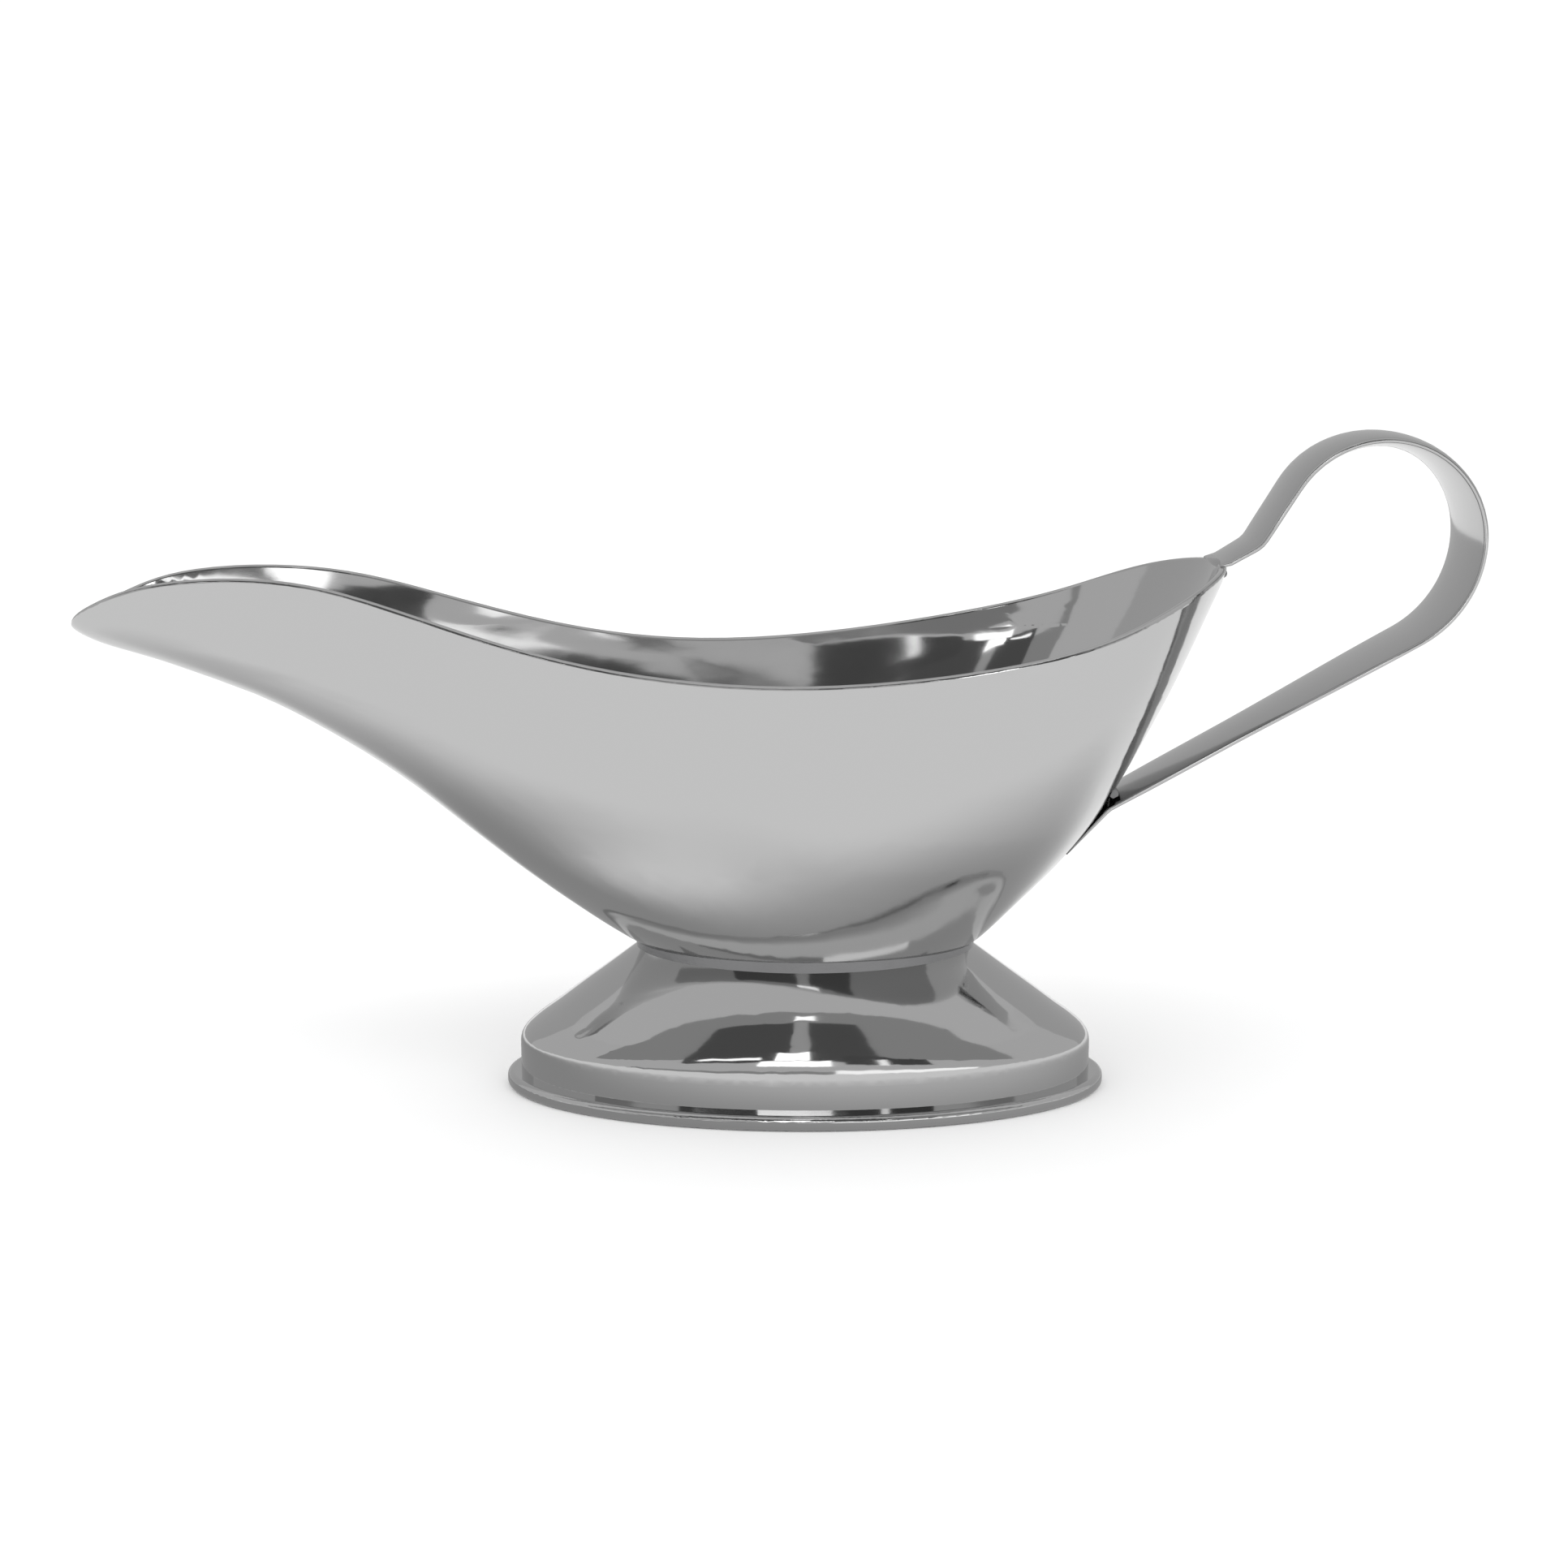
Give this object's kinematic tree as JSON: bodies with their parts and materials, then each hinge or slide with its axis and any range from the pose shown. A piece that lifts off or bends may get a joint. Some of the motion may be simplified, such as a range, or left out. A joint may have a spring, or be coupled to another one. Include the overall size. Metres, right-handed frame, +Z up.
{
  "type": "gravy boat",
  "caption": "Footed stainless steel gravy boat: long tapering pouring lip, deep oval bowl on a hollow oval pedestal, strap handle bent into a high loop.",
  "frame": {"origin": "middle of the oval foot, on the table plane", "axes": "+Z up, +X towards the handle, -X towards the pouring lip, symmetric about the plane y = 0"},
  "size_m": [0.2198, 0.074, 0.1049],
  "materials": {
    "bowl_steel": "mirror-polished stainless steel sheet",
    "foot_steel": "mirror-polished stainless steel sheet",
    "handle_steel": "polished stainless steel strap, slightly softer than the bowl",
    "weld_metal": "dull brazing and weld metal, wiped but not polished"
  },
  "bodies": {
    "root": {"bowl": "bowl_steel", "foot": "foot_steel", "handle": "handle_steel", "neck_bead": "weld_metal", "top_weld": "weld_metal", "low_weld": "weld_metal"}
  },
  "joints": []
}
